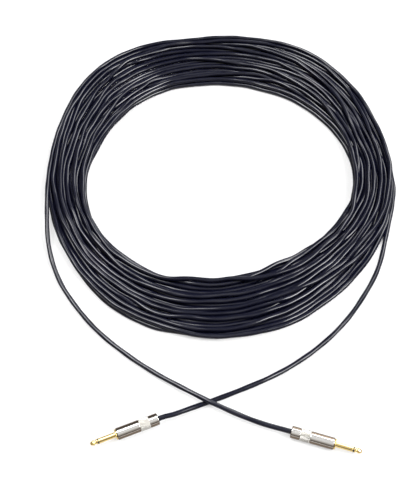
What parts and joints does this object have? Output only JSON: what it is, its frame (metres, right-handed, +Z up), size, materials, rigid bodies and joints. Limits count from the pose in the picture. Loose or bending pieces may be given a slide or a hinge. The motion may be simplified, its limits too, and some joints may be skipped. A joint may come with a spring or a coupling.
{
  "type": "instrument cable",
  "caption": "Long black cord in a loose round coil, its crossed ends in straight quarter-inch plugs with gold fingers and knurled screw-on nickel barrels.",
  "frame": {"origin": "on the floor under the centre of the box that both plugs fill", "axes": "+Z up, +X to the viewer's right along the line of the two plugs, +Y away from the viewer towards the coil"},
  "size_m": [0.4888, 0.6756, 0.0265],
  "materials": {
    "jacket": "smooth glossy black jacket",
    "nickel": "polished nickel plate over brass",
    "gold": "polished gold plate over brass",
    "black_insulator": "smooth black plastic",
    "tube_insulator": "moulded black plastic",
    "washer": "punched brown fibre",
    "terminal": "dull tin plate over brass sheet",
    "liner": "thin milky plastic tube",
    "core": "white foamed plastic",
    "copper": "bare stranded copper",
    "solder": "smooth dull solder"
  },
  "bodies": {
    "cable": {"cable_coil": "jacket", "left_plug_lead": "jacket", "right_plug_lead": "jacket", "left_sleeve_contact": "gold", "left_tip_contact": "gold", "left_ring_insulator": "black_insulator", "left_tube_insulator": "tube_insulator", "left_rear_washer": "washer", "left_ground_terminal": "terminal", "left_tip_terminal": "terminal", "left_cable_core": "core", "left_centre_wire": "copper", "left_shield_pigtail": "copper", "left_tip_solder": "solder", "left_ground_solder": "solder", "right_sleeve_contact": "gold", "right_tip_contact": "gold", "right_ring_insulator": "black_insulator", "right_tube_insulator": "tube_insulator", "right_rear_washer": "washer", "right_ground_terminal": "terminal", "right_tip_terminal": "terminal", "right_cable_core": "core", "right_centre_wire": "copper", "right_shield_pigtail": "copper", "right_tip_solder": "solder", "right_ground_solder": "solder"},
    "left_liner": {"left_liner": "liner"},
    "left_barrel": {"left_barrel": "nickel"},
    "right_liner": {"right_liner": "liner"},
    "right_barrel": {"right_barrel": "nickel"}
  },
  "joints": [
    {"name": "left_barrel_slide", "type": "slide", "parent": "cable", "child": "left_liner", "axis": [0.9272, 0.3746, 0], "range_m": [0, 0.00641]},
    {"name": "left_barrel_turn", "type": "hinge", "parent": "left_liner", "child": "left_barrel", "pos_m": [-0.10244, 0.00835, 0.00735], "axis": [0.9272, 0.3746, 0], "range_deg": [0, 2880]},
    {"name": "right_barrel_slide", "type": "slide", "parent": "cable", "child": "right_liner", "axis": [-0.9563, 0.2924, 0], "range_m": [0, 0.00641]},
    {"name": "right_barrel_turn", "type": "hinge", "parent": "right_liner", "child": "right_barrel", "pos_m": [0.10089, -0.00545, 0.00735], "axis": [-0.9563, 0.2924, 0], "range_deg": [0, 2880]}
  ],
  "couplings": [
    {"joint": "left_barrel_slide", "follows": "left_barrel_turn", "m_per_rad": 0.00012732},
    {"joint": "right_barrel_slide", "follows": "right_barrel_turn", "m_per_rad": 0.00012732}
  ]
}
